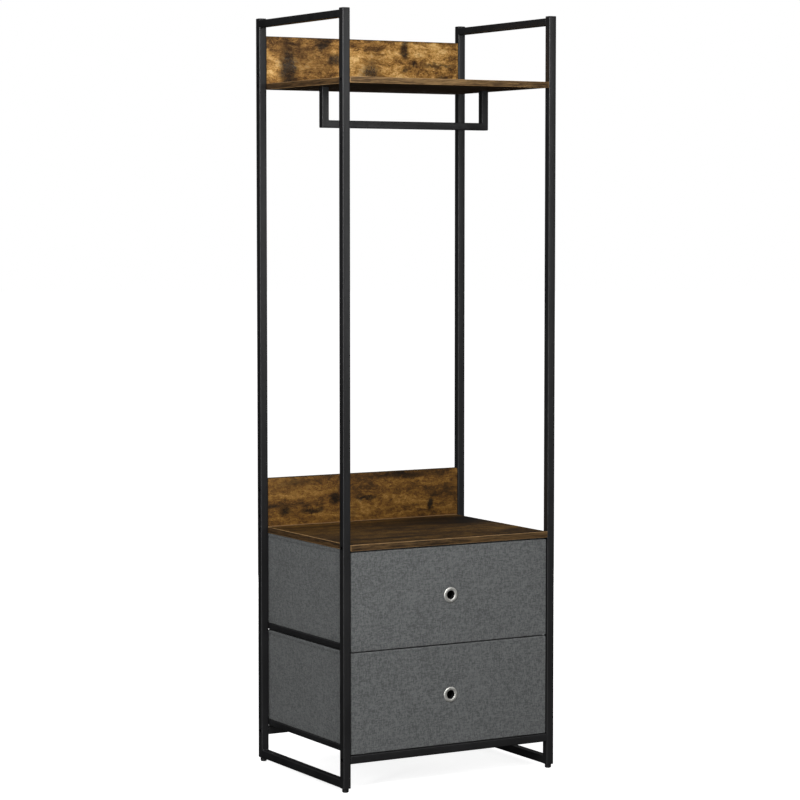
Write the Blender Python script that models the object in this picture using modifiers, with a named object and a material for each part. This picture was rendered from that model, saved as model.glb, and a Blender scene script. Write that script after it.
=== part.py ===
"""Free-standing hall tree: a square-tube steel frame with two laminated shelves and backboards,
a hanging rail under the top shelf, and two fabric drawers under the lower shelf.

Metres, +Z up. The front is -Y, the width runs along X, and the origin is on the floor under the
middle of the frame.
"""

import math

import bmesh
import bpy
from mathutils import Matrix, Vector

# Driving dimensions of the frame
WIDTH = 0.600
DEPTH = 0.450
TUBE = 0.020  # outer side of a frame tube
TUBE_WALL = 0.0012
TUBE_RADIUS = 0.0022  # rounded long edges of a tube
TUBE_BOTTOM = 0.010  # floor to the open lower end of a post
TUBE_TOP = 1.8665  # floor to the open upper end of a post
CAP_THICKNESS = 0.0045
SIDE_BAR_HEIGHT = 0.018  # the upper side bars are a little flatter than the posts
BOTTOM_RAIL_LOW = 0.0685
GAP = 0.0003  # clearance between pieces that touch

# Boards
BOARD = 0.015
TOP_SHELF_LOW = 1.695
LOWER_SHELF_LOW = 0.5825
TOP_BACKBOARD_HEIGHT = 0.1175
LOWER_BACKBOARD_HEIGHT = 0.1235
HIGH_BOLT_DROP = 0.030
MID_BOLT_DROP = 0.0965
BOARD_EDGE = 0.0008  # rounding of the edge banding
BOARD_BOLT_GRIP = 0.026  # how far a bolt reaches into the end of a board

# Hanging rail
RAIL_TUBE = 0.0185
RAIL_SPAN = 0.4755  # outer side of one drop to the outer side of the other
RAIL_LOW = 1.5955
END_PLATE = 0.004  # closed end of a tube that takes a bolt
PLATE_BOLT_GRIP = 0.0125  # how far a bolt reaches into a plated tube

# Drawers
RUNNER = 0.015
RUNNER_FRONT_GAP = 0.003  # drawer front to the runner's end
RUNNER_REAR_INSET = 0.004  # rear of the frame to the runner's end
RUNNER_LOW = {"lower": 0.092, "upper": 0.338}
FRONT_LOW = {"lower": 0.0899, "upper": 0.338}
FRONT_HIGH = {"lower": 0.3354, "upper": 0.5785}
FRONT_THICKNESS = 0.010
FRONT_SIDE_GAP = 0.0022  # between a drawer front and a post
FRONT_RECESS = 0.0026  # drawer front behind the posts' front faces
FRONT_CORNER = 0.005
FRONT_EDGE = 0.0022  # rounding of the fabric where it turns over the front's edges
BOX_HEIGHT = 0.2265
BOX_DEPTH = 0.428
FABRIC = 0.0035
BASE_BOARD = 0.003
BASE_CLEARANCE = 0.002  # around the loose base board
BASE_EDGE = 0.0005

# Finger grommets
GROMMET_RADIUS = 0.019
GROMMET_BORE = 0.0105
GROMMET_BARREL = 0.012
GROMMET_CROWN = 0.0019
GROMMET_WASHER = 0.0155
GROMMET_WASHER_THICKNESS = 0.001

# Fasteners
BOLT_SHANK = 0.003
BOLT_HEAD = 0.0042
BOLT_HEAD_HEIGHT = 0.003
BOLT_CHAMFER = 0.0005
ACCESS_HOLE = 0.0048
RAIL_BOLT_HEAD = 0.0055
DOWEL_RADIUS = 0.004
DOWEL_REACH = 0.010  # out of the shelf's rear edge into the backboard
DOWEL_SPREAD = 0.200  # either side of the middle

# Plastic caps and feet
PLUG_LENGTH = 0.014  # how far each one reaches into its post
CAP_EDGE = 0.0014
FOOT_RADIUS = 0.008
FOOT_BASE = 0.0055
FOOT_DOME = 0.0035
FOOT_PLUG = 0.0084
FOOT_PLUG_CHAMFER = 0.001

POST_X = (WIDTH - TUBE) / 2
POST_Y = (DEPTH - TUBE) / 2
INNER_X = WIDTH / 2 - TUBE
INNER_Y = DEPTH / 2 - TUBE
BACKBOARD_Y = POST_Y
SHELF_REAR = BACKBOARD_Y - BOARD / 2 - GAP
SIDES = {"left": -1, "right": 1}
ENDS = {"front": -1, "rear": 1}

AXIS_TURN = {
    "x": Matrix.Rotation(math.pi / 2, 4, "Y"),
    "-x": Matrix.Rotation(-math.pi / 2, 4, "Y"),
    "-y": Matrix.Rotation(math.pi / 2, 4, "X"),
    "z": Matrix.Identity(4),
    "-z": Matrix.Rotation(math.pi, 4, "X"),
}


# ---------------------------------------------------------------- scene, materials and objects


def clear_scene():
    for obj in list(bpy.data.objects):
        bpy.data.objects.remove(obj, do_unlink=True)


def new_collection(name):
    collection = bpy.data.collections.new(name)
    bpy.context.scene.collection.children.link(collection)
    return collection


def new_material(name, colour, roughness, metallic=0.0):
    material = bpy.data.materials.new(name)
    material.use_nodes = True
    shader = material.node_tree.nodes["Principled BSDF"]
    shader.inputs["Base Color"].default_value = (*colour, 1.0)
    shader.inputs["Roughness"].default_value = roughness
    shader.inputs["Metallic"].default_value = metallic
    return material


def place(name, mesh, centre, material, parent=None):
    """A part of the hall tree, in the parts collection."""
    obj = bpy.data.objects.new(name, mesh)
    PARTS.objects.link(obj)
    mesh.materials.append(material)
    obj.location = centre
    if parent:
        obj.parent = parent
        obj.location = Vector(centre) - parent.location
    return obj


def place_cutter(name, mesh, centre):
    """A helper that cuts or joins a part and is never part of the object itself."""
    obj = bpy.data.objects.new(name, mesh)
    CUTTERS.objects.link(obj)
    obj.location = centre
    obj.hide_render = True
    obj.display_type = "WIRE"
    return obj


def combine(target, helper, operation="DIFFERENCE"):
    modifier = target.modifiers.new(helper.name, "BOOLEAN")
    modifier.operation = operation
    modifier.solver = "EXACT"
    modifier.object = helper


# ---------------------------------------------------------------- shapes


def mesh_from(bm, name):
    bmesh.ops.recalc_face_normals(bm, faces=bm.faces)
    mesh = bpy.data.meshes.new(name)
    bm.to_mesh(mesh)
    bm.free()
    return mesh


def cube(size):
    bm = bmesh.new()
    bmesh.ops.create_cube(bm, size=1.0)
    bmesh.ops.scale(bm, vec=Vector(size), verts=bm.verts)
    return bm


def along(edge, axis):
    direction = edge.verts[1].co - edge.verts[0].co
    return abs(direction["xyz".index(axis)]) > 0.999 * direction.length


def rounded_prism(size, axis, radius, segments=3):
    """A box whose four edges along the axis are rounded."""
    bm = cube(size)
    edges = [edge for edge in bm.edges if along(edge, axis)]
    bmesh.ops.bevel(
        bm, geom=edges, offset=radius, segments=segments, profile=0.5, affect="EDGES"
    )
    return bm


def square_tube(name, size, axis, centre, material):
    """An open-ended square tube: four walls with rounded corners, thickened inwards."""
    bm = rounded_prism(size, axis, TUBE_RADIUS)
    half = size["xyz".index(axis)] / 2
    ends = [
        face
        for face in bm.faces
        if abs(abs(face.calc_center_median()["xyz".index(axis)]) - half) < 1e-6
    ]
    bmesh.ops.delete(bm, geom=ends, context="FACES_ONLY")
    tube = place(name, mesh_from(bm, name), centre, material)
    wall = tube.modifiers.new("Wall", "SOLIDIFY")
    wall.thickness = TUBE_WALL
    wall.offset = -1.0
    return tube


def plated_tube(name, size, axis, centre, material, bolted_ends):
    """A square tube closed by an end plate at both ends, with a bolt hole in each bolted end."""
    tube = place(
        name, mesh_from(rounded_prism(size, axis, TUBE_RADIUS), name), centre, material
    )
    index = "xyz".index(axis)
    hollow = Vector(size) - Vector((2 * TUBE_WALL,) * 3)
    hollow[index] = size[index] - 2 * END_PLATE
    combine(tube, place_cutter(f"{name}_hollow", mesh_from(cube(hollow), name), centre))
    for end in bolted_ends:
        hole_centre = Vector(centre)
        hole_centre[index] += end * (size[index] - END_PLATE) / 2
        cut_round(tube, f"{name}_hole", hole_centre, axis, BOLT_SHANK + GAP, 3 * END_PLATE)
    return tube


def soft_box(name, size, centre, material, radius, segments=2, parent=None):
    """A box with every edge rounded."""
    obj = place(name, mesh_from(cube(size), name), centre, material, parent)
    bevel = obj.modifiers.new("Edges", "BEVEL")
    bevel.width = radius
    bevel.segments = segments
    return obj


def rod(name, centre, axis, radius, length, segments=20):
    """A round helper along the axis, centred on the point."""
    bm = bmesh.new()
    bmesh.ops.create_cone(
        bm, cap_ends=True, segments=segments, radius1=radius, radius2=radius, depth=length
    )
    bmesh.ops.transform(bm, matrix=AXIS_TURN[axis], verts=bm.verts)
    return place_cutter(name, mesh_from(bm, name), centre)


def cut_round(target, name, centre, axis, radius, length, segments=20):
    """Cuts a round hole along the axis, centred on the point."""
    combine(target, rod(name, centre, axis, radius, length, segments))


def turned_mesh(name, profile, closed=False):
    """The edge chain of a turned profile of (radius, height) points."""
    bm = bmesh.new()
    verts = [bm.verts.new((radius, 0.0, height)) for radius, height in profile]
    for first, second in zip(verts, verts[1:]):
        bm.edges.new((first, second))
    if closed:
        bm.edges.new((verts[-1], verts[0]))
    mesh = bpy.data.meshes.new(name)
    bm.to_mesh(mesh)
    bm.free()
    return mesh


def turn(obj, axis, steps):
    """Turns a profile about its own height and points that height along the axis."""
    obj.rotation_euler = AXIS_TURN[axis].to_euler()
    screw = obj.modifiers.new("Turn", "SCREW")
    screw.axis = "Z"
    screw.steps = steps
    screw.render_steps = steps
    screw.use_merge_vertices = True
    screw.merge_threshold = 1e-5
    return obj


# ---------------------------------------------------------------- fasteners


def bolt_profile(grip):
    """A cylinder-head bolt: its head is at positive height, and its shank runs down from zero."""
    return [
        (0.0, BOLT_HEAD_HEIGHT),
        (BOLT_HEAD - BOLT_CHAMFER, BOLT_HEAD_HEIGHT),
        (BOLT_HEAD, BOLT_HEAD_HEIGHT - BOLT_CHAMFER),
        (BOLT_HEAD, 0.0),
        (BOLT_SHANK, 0.0),
        (BOLT_SHANK, -grip),
        (0.0, -grip),
    ]


def sunk_profile(shank, head, length, clearance=0.0):
    """A countersunk fastener: its flat head is at zero height, and its shank runs up from there."""
    return [
        (0.0, length + clearance),
        (shank + clearance, length + clearance),
        (shank + clearance, head - shank),
        (head + clearance, 0.0),
        (head + clearance, -2 * clearance),
        (0.0, -2 * clearance),
    ]


def bolt(name, seat, towards, grip):
    """A bolt whose head rests at the seat and whose shank points along the direction."""
    back = towards[1:] if towards.startswith("-") else f"-{towards}"
    body = place(name, turned_mesh(name, bolt_profile(grip)), seat, ZINC)
    return turn(body, back, 16)


def sunk_fastener(name, head_at, towards, sizes, boards):
    """A countersunk fastener with its head at the point, and its bore through the boards."""
    turn(place(name, turned_mesh(name, sunk_profile(*sizes)), head_at, ZINC), towards, 16)
    bore = place_cutter(f"{name}_bore", turned_mesh(name, sunk_profile(*sizes, GAP)), head_at)
    turn(bore, towards, 16)
    for board in boards:
        combine(board, bore)


def end_bolts(name, end, height, grip, board=None):
    """A bolt into each end of a cross piece, through a post's inner wall. A board gets a bore for it."""
    for side, sign in SIDES.items():
        y = ENDS[end] * POST_Y
        wall = Vector((sign * (INNER_X + TUBE_WALL / 2), y, height))
        outer = Vector((sign * (WIDTH / 2 - TUBE_WALL / 2), y, height))
        seat = Vector((sign * (INNER_X + TUBE_WALL + GAP), y, height))
        bolt_name = f"{name}_bolt_{side}"
        bolt(bolt_name, seat, "-x" if sign > 0 else "x", TUBE_WALL + GAP + grip)
        post = POSTS[end, side]
        cut_round(post, f"{bolt_name}_seat", wall, "x", BOLT_SHANK + GAP, 4 * TUBE_WALL)
        cut_round(post, f"{bolt_name}_access", outer, "x", ACCESS_HOLE, 4 * TUBE_WALL)
        if board:
            reach = Vector((sign * (INNER_X - grip / 2), y, height))
            cut_round(board, f"{bolt_name}_bore", reach, "x", BOLT_SHANK + GAP, grip + 4 * GAP)


# ---------------------------------------------------------------- frame


def make_posts():
    posts = {}
    height = TUBE_TOP - TUBE_BOTTOM
    middle = (TUBE_TOP + TUBE_BOTTOM) / 2
    for end, depth_sign in ENDS.items():
        for side, sign in SIDES.items():
            centre = (sign * POST_X, depth_sign * POST_Y, middle)
            size = (TUBE, TUBE, height)
            posts[end, side] = square_tube(f"post_{end}_{side}", size, "z", centre, STEEL)
    return posts


def make_post_caps():
    """A flat plastic cap on each post, with a square plug down inside the tube."""
    plug_side = TUBE - 2 * TUBE_WALL - 2 * GAP
    for end, depth_sign in ENDS.items():
        for side, sign in SIDES.items():
            name = f"post_cap_{end}_{side}"
            x, y = sign * POST_X, depth_sign * POST_Y
            centre = (x, y, TUBE_TOP + GAP + CAP_THICKNESS / 2)
            cap = soft_box(name, (TUBE, TUBE, CAP_THICKNESS), centre, PLASTIC, CAP_EDGE)
            bm = rounded_prism((plug_side, plug_side, PLUG_LENGTH), "z", TUBE_RADIUS - TUBE_WALL)
            plug_centre = (x, y, TUBE_TOP - PLUG_LENGTH / 2 + CAP_THICKNESS / 2)
            plug = place_cutter(f"{name}_plug", mesh_from(bm, name), plug_centre)
            combine(cap, plug, "UNION")


def make_feet():
    """A domed glide under each post, with a round plug up inside the tube."""
    plug_top = TUBE_BOTTOM + PLUG_LENGTH
    dome = [
        (FOOT_BASE + (FOOT_RADIUS - FOOT_BASE) * math.sin(angle), FOOT_DOME * (1 - math.cos(angle)))
        for angle in [math.radians(step) for step in (90, 60, 30, 0)]
    ]
    profile = [
        (0.0, plug_top),
        (FOOT_PLUG - FOOT_PLUG_CHAMFER, plug_top),
        (FOOT_PLUG, plug_top - FOOT_PLUG_CHAMFER),
        (FOOT_PLUG, TUBE_BOTTOM - GAP),
        (FOOT_RADIUS, TUBE_BOTTOM - GAP),
        *dome,
        (0.0, 0.0),
    ]
    for end, depth_sign in ENDS.items():
        for side, sign in SIDES.items():
            name = f"foot_{end}_{side}"
            centre = (sign * POST_X, depth_sign * POST_Y, 0.0)
            turn(place(name, turned_mesh(name, profile), centre, PLASTIC), "z", 24)


def make_side_bars():
    """Bars from front post to rear post on each side: one at the top and one at the foot."""
    length = 2 * (INNER_Y - GAP)
    top_centre = TUBE_TOP - SIDE_BAR_HEIGHT / 2
    for side, sign in SIDES.items():
        x = sign * POST_X
        top_size = (TUBE, length, SIDE_BAR_HEIGHT)
        square_tube(f"side_bar_top_{side}", top_size, "y", (x, 0, top_centre), STEEL)
        low_centre = (x, 0, TUBE_BOTTOM + TUBE / 2)
        square_tube(f"side_bar_bottom_{side}", (TUBE, length, TUBE), "y", low_centre, STEEL)


def make_runners():
    """Smaller tubes along the inner faces of the posts, which carry the drawers."""
    front = -DEPTH / 2 + FRONT_RECESS + FRONT_THICKNESS + RUNNER_FRONT_GAP
    rear = DEPTH / 2 - RUNNER_REAR_INSET
    for level, low in RUNNER_LOW.items():
        for side, sign in SIDES.items():
            x = sign * (INNER_X - GAP - RUNNER / 2)
            centre = (x, (front + rear) / 2, low + RUNNER / 2)
            size = (RUNNER, rear - front, RUNNER)
            square_tube(f"runner_{level}_{side}", size, "y", centre, STEEL)


def make_bottom_rails():
    """A rail between the front posts and one between the rear posts, under the drawers."""
    height = BOTTOM_RAIL_LOW + TUBE / 2
    length = 2 * (INNER_X - GAP)
    for end, depth_sign in ENDS.items():
        name = f"bottom_rail_{end}"
        centre = (0, depth_sign * POST_Y, height)
        plated_tube(name, (length, TUBE, TUBE), "x", centre, STEEL, (-1, 1))
        end_bolts(name, end, height, PLATE_BOLT_GRIP)


def make_hanging_rail():
    """A bar between two drops, each drawn up to the shelf by a flush bolt from above."""
    top = TOP_SHELF_LOW - GAP
    shelf_top = TOP_SHELF_LOW + BOARD
    bolt_sizes = (BOLT_SHANK, RAIL_BOLT_HEAD, BOARD + PLATE_BOLT_GRIP)
    for side, sign in SIDES.items():
        x = sign * (RAIL_SPAN - RAIL_TUBE) / 2
        centre = (x, 0, (top + RAIL_LOW) / 2)
        size = (RAIL_TUBE, RAIL_TUBE, top - RAIL_LOW)
        plated_tube(f"rail_drop_{side}", size, "z", centre, STEEL, (1,))
        sunk_fastener(f"rail_bolt_{side}", (x, 0, shelf_top - GAP), "-z", bolt_sizes, [TOP_SHELF])
    bar_length = RAIL_SPAN - 2 * (RAIL_TUBE + GAP)
    bar_centre = (0, 0, RAIL_LOW + RAIL_TUBE / 2)
    square_tube("rail_bar", (bar_length, RAIL_TUBE, RAIL_TUBE), "x", bar_centre, STEEL)


# ---------------------------------------------------------------- boards


def make_shelf(name, low):
    """A board from the front of the frame back to its backboard."""
    size = (2 * (INNER_X - GAP), SHELF_REAR + DEPTH / 2, BOARD)
    centre = (0, (SHELF_REAR - DEPTH / 2) / 2, low + BOARD / 2)
    return soft_box(name, size, centre, LAMINATE, BOARD_EDGE, 1)


def make_backboard(name, shelf_low, height):
    """A board between the rear posts, from a shelf's underside to this height above the shelf."""
    size = (2 * (INNER_X - GAP), BOARD, BOARD + height)
    centre = (0, BACKBOARD_Y, shelf_low + size[2] / 2)
    return soft_box(name, size, centre, LAMINATE, BOARD_EDGE, 1)


def fasten_boards(level, shelf_low, height, shelf, backboard):
    """Bolts from the posts into both boards, and the shelf's dowels in bores of the backboard."""
    end_bolts(f"{level}_shelf", "front", shelf_low + BOARD / 2, BOARD_BOLT_GRIP, shelf)
    top = shelf_low + BOARD + height
    rows = {"low": shelf_low + BOARD / 2, "mid": top - MID_BOLT_DROP, "high": top - HIGH_BOLT_DROP}
    for row, bolt_height in rows.items():
        name = f"{level}_backboard_{row}"
        end_bolts(name, "rear", bolt_height, BOARD_BOLT_GRIP, backboard)
    for side, sign in SIDES.items():
        name = f"{level}_dowel_{side}"
        root = Vector((sign * DOWEL_SPREAD, SHELF_REAR, shelf_low + BOARD / 2))
        combine(shelf, rod(name, root, "-y", DOWEL_RADIUS, 2 * DOWEL_REACH), "UNION")
        bore = 2 * (DOWEL_REACH + 2 * GAP)
        cut_round(backboard, f"{name}_bore", root, "-y", DOWEL_RADIUS + GAP, bore)


# ---------------------------------------------------------------- drawers


def make_grommet(name, centre, parent):
    """A domed ring on the face, with a barrel through the front to a washer inside the box."""
    crown = []
    middle = (GROMMET_RADIUS + GROMMET_BORE) / 2
    half = (GROMMET_RADIUS - GROMMET_BORE) / 2
    for step in range(9):
        angle = math.radians(180 - 22.5 * step)
        crown.append((middle + half * math.cos(angle), GAP + GROMMET_CROWN * math.sin(angle)))
    washer_top = -(FRONT_THICKNESS + FABRIC + 2 * GAP)
    washer_low = washer_top - GROMMET_WASHER_THICKNESS
    barrel = [
        (GROMMET_BARREL, GAP),
        (GROMMET_BARREL, washer_top),
        (GROMMET_WASHER, washer_top),
        (GROMMET_WASHER, washer_low),
        (GROMMET_BORE, washer_low),
    ]
    ring = place(name, turned_mesh(name, crown + barrel, closed=True), centre, NICKEL, parent)
    return turn(ring, "-y", 32)


def make_drawer(level):
    """Front, open fabric box, base board and grommet, on an empty that slides along -Y."""
    runner_top = RUNNER_LOW[level] + RUNNER
    front_height = FRONT_HIGH[level] - FRONT_LOW[level]
    face_y = -DEPTH / 2 + FRONT_RECESS
    pull = Vector((0, face_y, FRONT_LOW[level] + front_height / 2))
    origin = bpy.data.objects.new(f"drawer_{level}_slide", None)
    PARTS.objects.link(origin)
    origin.location = pull

    width = 2 * (INNER_X - FRONT_SIDE_GAP)
    front_centre = pull + Vector((0, FRONT_THICKNESS / 2, 0))
    front_size = (width, FRONT_THICKNESS, front_height)
    front = place(
        f"drawer_{level}_front",
        mesh_from(rounded_prism(front_size, "y", FRONT_CORNER), level),
        front_centre,
        FABRIC_GREY,
        origin,
    )
    edges = front.modifiers.new("Edges", "BEVEL")
    edges.width = FRONT_EDGE
    edges.segments = 2

    box_low = runner_top + GAP
    box_front = face_y + FRONT_THICKNESS + GAP
    box_centre = Vector((0, box_front + BOX_DEPTH / 2, box_low + BOX_HEIGHT / 2))
    box = place(
        f"drawer_{level}_box",
        mesh_from(rounded_prism((width, BOX_DEPTH, BOX_HEIGHT), "z", FRONT_CORNER), level),
        box_centre,
        FABRIC_GREY,
        origin,
    )
    hollow_size = (width - 2 * FABRIC, BOX_DEPTH - 2 * FABRIC, BOX_HEIGHT)
    hollow_centre = box_centre + Vector((0, 0, FABRIC))
    hollow_mesh = mesh_from(rounded_prism(hollow_size, "z", FRONT_CORNER - FABRIC), level)
    combine(box, place_cutter(f"drawer_{level}_hollow", hollow_mesh, hollow_centre))

    around = 2 * (FABRIC + BASE_CLEARANCE)
    base_size = (width - around, BOX_DEPTH - around, BASE_BOARD)
    base_low = box_low + FABRIC + GAP
    base_centre = (0, box_centre.y, base_low + BASE_BOARD / 2)
    soft_box(f"drawer_{level}_base", base_size, base_centre, FIBREBOARD, BASE_EDGE, 1, origin)

    for piece in (front, box):
        hole = f"{piece.name}_hole"
        through = 6 * FRONT_THICKNESS
        cut_round(piece, hole, pull, "-y", GROMMET_BARREL + GAP, through, segments=32)
    make_grommet(f"drawer_{level}_grommet", pull, origin)


# ---------------------------------------------------------------- assembly

clear_scene()
PARTS = new_collection("hall_tree")
CUTTERS = new_collection("cutters")
STEEL = new_material("black powder-coated steel", (0.018, 0.018, 0.019), 0.45)
PLASTIC = new_material("black plastic", (0.012, 0.012, 0.013), 0.5)
LAMINATE = new_material("rustic brown laminate", (0.24, 0.13, 0.05), 0.5)
FABRIC_GREY = new_material("grey woven fabric", (0.13, 0.13, 0.13), 0.95)
FIBREBOARD = new_material("grey fibreboard", (0.16, 0.16, 0.16), 0.8)
NICKEL = new_material("bright nickel", (0.72, 0.72, 0.70), 0.2, 1.0)
ZINC = new_material("black zinc steel", (0.03, 0.03, 0.03), 0.4, 0.8)

POSTS = make_posts()
make_post_caps()
make_feet()
make_side_bars()
make_runners()
make_bottom_rails()

TOP_SHELF = make_shelf("top_shelf", TOP_SHELF_LOW)
TOP_BACKBOARD = make_backboard("top_backboard", TOP_SHELF_LOW, TOP_BACKBOARD_HEIGHT)
fasten_boards("top", TOP_SHELF_LOW, TOP_BACKBOARD_HEIGHT, TOP_SHELF, TOP_BACKBOARD)
LOWER_SHELF = make_shelf("lower_shelf", LOWER_SHELF_LOW)
LOWER_BACKBOARD = make_backboard("lower_backboard", LOWER_SHELF_LOW, LOWER_BACKBOARD_HEIGHT)
fasten_boards("lower", LOWER_SHELF_LOW, LOWER_BACKBOARD_HEIGHT, LOWER_SHELF, LOWER_BACKBOARD)
make_hanging_rail()

for drawer_level in RUNNER_LOW:
    make_drawer(drawer_level)
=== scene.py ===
"""The looks of the hall tree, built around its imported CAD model.

Black powder-coated square tube, rustic laminated boards, and drawers of grey linen-look fabric with
nickel grommets. Places and sizes come from the CAD nodes' boxes, in metres. The front is -Y.
"""

import math

import bmesh
import bpy
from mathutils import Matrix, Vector, noise


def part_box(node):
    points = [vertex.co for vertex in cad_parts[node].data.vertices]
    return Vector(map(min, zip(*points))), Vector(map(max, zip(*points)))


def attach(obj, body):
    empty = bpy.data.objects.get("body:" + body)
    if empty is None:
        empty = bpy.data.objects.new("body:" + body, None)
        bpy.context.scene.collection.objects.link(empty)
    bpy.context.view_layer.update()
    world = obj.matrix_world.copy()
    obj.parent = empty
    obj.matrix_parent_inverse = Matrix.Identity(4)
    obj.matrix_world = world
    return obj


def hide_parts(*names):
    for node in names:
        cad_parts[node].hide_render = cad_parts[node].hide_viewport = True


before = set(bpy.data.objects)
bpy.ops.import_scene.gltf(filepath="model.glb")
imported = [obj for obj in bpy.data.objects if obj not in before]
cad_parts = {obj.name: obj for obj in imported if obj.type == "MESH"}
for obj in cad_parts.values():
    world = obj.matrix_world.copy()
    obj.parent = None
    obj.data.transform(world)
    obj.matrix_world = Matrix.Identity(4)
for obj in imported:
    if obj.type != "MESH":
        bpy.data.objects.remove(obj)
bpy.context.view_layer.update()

SIDES = {"left": -1, "right": 1}
ENDS = {"front": -1, "rear": 1}
CORNERS = [(end, side) for end in ENDS for side in SIDES]
LEVELS = ("upper", "lower")

# Camera: it looks at the middle of the object from the front left, a little downwards. Angles are
# in degrees, and lens and sensor in millimetres.
CAMERA_AIM = (-0.011, 0.006, 0.9215)
CAMERA_DISTANCE = 6.718
CAMERA_YAW = 30.02
CAMERA_PITCH = 4.03
CAMERA_LENS = 120.9
CAMERA_SENSOR = 36
CAMERA_CLIP = 200

# Surrounding light: where from, and how much
LIGHT_LOBES = (
    ((0.5, -0.86, 0.1), 0.14),
    ((0.0, 0.0, 1.0), 0.35),
    ((-0.85, -0.5, 0.15), 0.45),
)
# Softboxes: place, aim, size, power, and whether they show in reflections
SOFTBOXES = {
    "key": ((-0.95, -1.55, 2.1), (-0.1, 0, 1.0), (1.1, 1.1), 33, True),
    "back": ((1.2, 3.4, 0.9), (0, 0, 0.9), (2.0, 1.6), 55, False),
    "right": ((3.4, 0.3, 1.0), (0, 0, 1.0), (1.6, 1.6), 34, False),
    "fill": ((1.5, -3.2, 1.7), (0, 0, 1.2), (0.7, 1.6), 8, True),
    "strip": ((-3.2, -1.85, 1.2), (-0.2, -0.1, 1.0), (0.22, 2.6), 44, True),
}
FLOOR_RADIUS = 40
FLOOR_GLOW = 0.82

# Square tube
TUBE_RADIUS = 0.0022
TUBE_WALL = 0.0012
TUBE_EDGE = 0.0003
CORNER_STEPS = 6
ACCESS_HOLE = 0.0048
WELD_REACH = 0.0024  # how far a side bar runs into the posts, past their rounded corners
WELD_RADIUS = 0.0016
WELD_POINTS = 33
WELD_RIPPLE = 0.1
WELD_TIP = 0.35  # how thick a bead's ends are, and how fast it thickens from there
WELD_TAPER = 6

# Boards, and how far cutting tools stand out of what they cut
BOARD_EDGE = 0.0011
BORE_MARGIN = 0.0003
TOOL_CLEAR = 0.01
BOLT_CLEAR = 0.004

# Drawers
DRAWER_CORNER = 0.0035
FRONT_EDGE = 0.0024
FABRIC = 0.0035
BOX_EDGE = 0.003  # radius of the round edge between the walls and the bottom
WALL_SPLITS = (46, 34)  # along X and along Y
SMALLEST_CORNER = 0.0008
HOLE_SIDES = 64
RIM_RISE = 0.0016  # how far the sewn rim stands above the CAD box
HEM_THICKNESS = 0.0005
HEM_HEIGHT = 0.01
PIPING_RADIUS = 0.0011

# The fabric's slack, its finer ripple, and the front's dip round the grommet
TAUT_BORDER = 0.03  # the strip along the front's edges over which its slack fades away
FRONT_SLACK = 0.0005
FRONT_RIPPLE = 0.00016
WALL_SLACK = 0.0007
WALL_RIPPLE = 0.00025
PULL_DEPTH = 0.0006
PULL_RADIUS = 0.016
PULL_WIDTH = 0.009

# Stitches, and how far their rows are from the hem's foot and from the front's top and sides
STITCH_LENGTH = 0.0032
STITCH_PITCH = 0.0046
STITCH_RADIUS = 0.00028
STITCH_PROFILE = ((0.0, 0.35), (0.2, 0.85), (0.5, 1.0), (0.8, 0.85), (1.0, 0.35))
HEM_ROW = 0.0035
FRONT_ROW = 0.0065
FRONT_ROW_END = 0.006

# Grommet radii
GROMMET_BORE = 0.0105
GROMMET_BARREL = 0.012

# Materials
NOISE_LOW, NOISE_HIGH = 0.3, 0.7  # nearly all of a noise lies between these
MIX_FIRST, MIX_SECOND, MIX_RESULT = 6, 7, 2  # the colour sockets of a Mix node
WOOD_STOPS = (0.4, 0.46, 0.5, 0.54, 0.6)
STAIN_TINT = (0.07, 0.085, 0.17, 1)


# ---------------------------------------- shapes


def outline(half_u, half_v, radius, splits_u=1, splits_v=1):
    """Points and outward normals round a rounded rectangle, in the same number for every size."""
    corners = [(1, -1, -90), (1, 1, 0), (-1, 1, 90), (-1, -1, 180)]
    points = []
    for (u, v, start), (next_u, next_v, _) in zip(corners, corners[1:] + corners[:1]):
        centre = Vector((u * (half_u - radius), v * (half_v - radius)))
        for step in range(CORNER_STEPS + 1):
            angle = math.radians(start + 90 * step / CORNER_STEPS)
            normal = Vector((math.cos(angle), math.sin(angle)))
            points.append((centre + radius * normal, normal))
        following = Vector((next_u * (half_u - radius), next_v * (half_v - radius)))
        splits = splits_v if next_u == u else splits_u
        for split in range(1, splits):
            points.append((centre.lerp(following, split / splits) + radius * normal, normal))
    return points


def circle(radius, count):
    """Points round a circle."""
    return [
        Vector((radius * math.cos(turn), radius * math.sin(turn)))
        for turn in (2 * math.pi * index / count for index in range(count))
    ]


def hexagon(radius, count):
    """Points round a hexagon of this inner radius, at the same angles as a circle's."""
    points = []
    for index in range(count):
        turn = 2 * math.pi * index / count
        reach = radius / math.cos((turn % (math.pi / 3)) - math.pi / 6)
        points.append(Vector((reach * math.cos(turn), reach * math.sin(turn))))
    return points


def lifted(points, axis, centre, height):
    """Flat points as 3-D ones, at a height along the axis through the centre."""
    index = "xyz".index(axis)
    first, second = [other for other in range(3) if other != index]
    ring = []
    for point in points:
        place = Vector(centre)
        place[index] = height
        place[first] += point.x
        place[second] += point.y
        ring.append(place)
    return ring


def loft(bm, rings, wrap=False):
    """Skins the rings one after another. Where they don't wrap round, each end gets a face."""
    rows = [[bm.verts.new(point) for point in ring] for ring in rings]
    pairs = list(zip(rows, rows[1:]))
    if wrap:
        pairs.append((rows[-1], rows[0]))
    for first, second in pairs:
        for index in range(len(first)):
            after = (index + 1) % len(first)
            bm.faces.new((first[index], first[after], second[after], second[index]))
    if not wrap:
        bm.faces.new(rows[0])
        bm.faces.new(list(reversed(rows[-1])))


def lofted(rings, wrap=False):
    """A new mesh that skins the rings."""
    bm = bmesh.new()
    loft(bm, rings, wrap)
    return bm


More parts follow.
